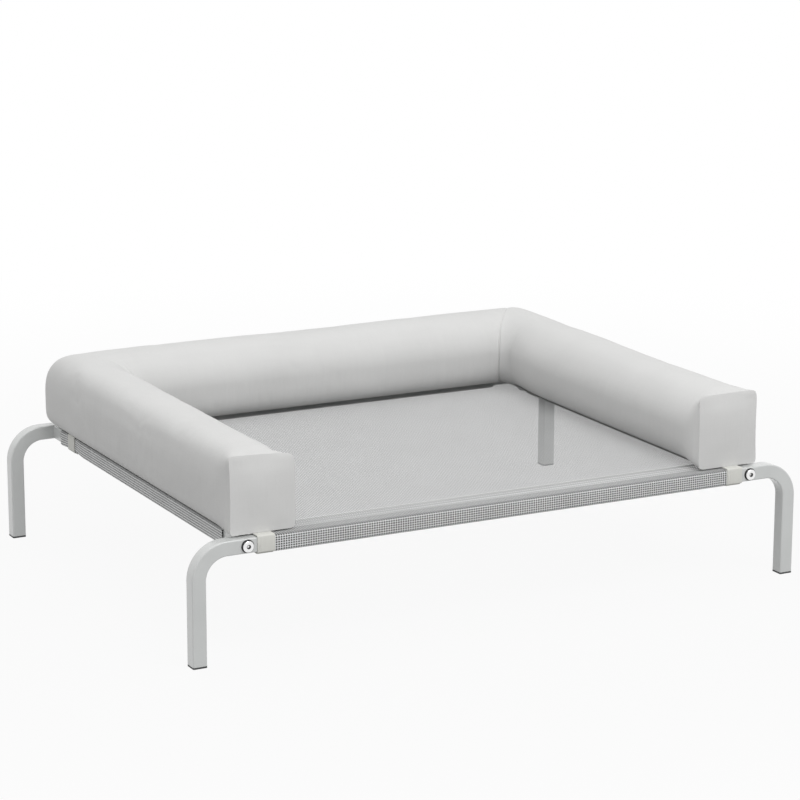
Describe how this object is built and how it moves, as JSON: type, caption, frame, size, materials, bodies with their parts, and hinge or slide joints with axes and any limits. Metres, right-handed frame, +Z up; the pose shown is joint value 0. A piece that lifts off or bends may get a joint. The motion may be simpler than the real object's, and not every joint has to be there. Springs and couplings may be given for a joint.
{
  "type": "raised dog cot",
  "caption": "Raised pet cot with bent square-tube legs, a taut mesh sling hemmed round its rails, and a strapped-on U-shaped padded bolster.",
  "frame": {"origin": "on the floor under the middle of the frame", "axes": "+X to the right along the long front edge, +Y to the back, +Z up"},
  "size_m": [0.93, 0.6944, 0.2762],
  "materials": {
    "frame_paint": "satin light grey paint",
    "foot_plastic": "dark moulded plastic",
    "joiner_steel": "plain steel",
    "plug_plastic": "dark nylon",
    "bolt_zinc": "bright zinc plate",
    "washer_rubber": "black rubber",
    "nut_steel": "zinc plate",
    "sling_mesh": "coated polyester mesh",
    "webbing": "off-white woven webbing",
    "closure_tape": "hook-and-loop tape",
    "bolster_cover": "light grey woven polyester",
    "bolster_fill": "polyester fibre filling"
  },
  "bodies": {
    "frame": {"front_rail": "frame_paint", "back_rail": "frame_paint", "left_rail": "frame_paint", "right_rail": "frame_paint", "leg_front_left": "frame_paint", "leg_front_right": "frame_paint", "leg_back_left": "frame_paint", "leg_back_right": "frame_paint", "foot_front_left": "foot_plastic", "foot_front_right": "foot_plastic", "foot_back_left": "foot_plastic", "foot_back_right": "foot_plastic", "joiner_front_left": "joiner_steel", "joiner_front_right": "joiner_steel", "joiner_back_left": "joiner_steel", "joiner_back_right": "joiner_steel", "plug_front_left": "plug_plastic", "plug_front_right": "plug_plastic", "plug_back_left": "plug_plastic", "plug_back_right": "plug_plastic", "bolt_front_left": "bolt_zinc", "bolt_front_right": "bolt_zinc", "bolt_back_left": "bolt_zinc", "bolt_back_right": "bolt_zinc", "washer_front_left": "washer_rubber", "washer_front_right": "washer_rubber", "washer_back_left": "washer_rubber", "washer_back_right": "washer_rubber", "nut_front_left": "nut_steel", "nut_front_right": "nut_steel", "nut_back_left": "nut_steel", "nut_back_right": "nut_steel", "sling_panel": "sling_mesh", "hem_front": "sling_mesh", "hem_back": "sling_mesh", "hem_left": "sling_mesh", "hem_right": "sling_mesh", "strap_front_left": "webbing", "strap_front_right": "webbing", "strap_back_left": "webbing", "strap_back_right": "webbing", "closure_front_left": "closure_tape", "closure_front_right": "closure_tape", "closure_back_left": "closure_tape", "closure_back_right": "closure_tape"},
    "bolster": {"cover_left_arm": "bolster_cover", "cover_back": "bolster_cover", "cover_right_arm": "bolster_cover", "fill_left_arm": "bolster_fill", "fill_back": "bolster_fill", "fill_right_arm": "bolster_fill"}
  },
  "joints": [
    {"name": "bolster_lift", "type": "slide", "parent": "frame", "child": "bolster", "axis": [0, 0, 1], "range_m": [0, 0.2]}
  ]
}
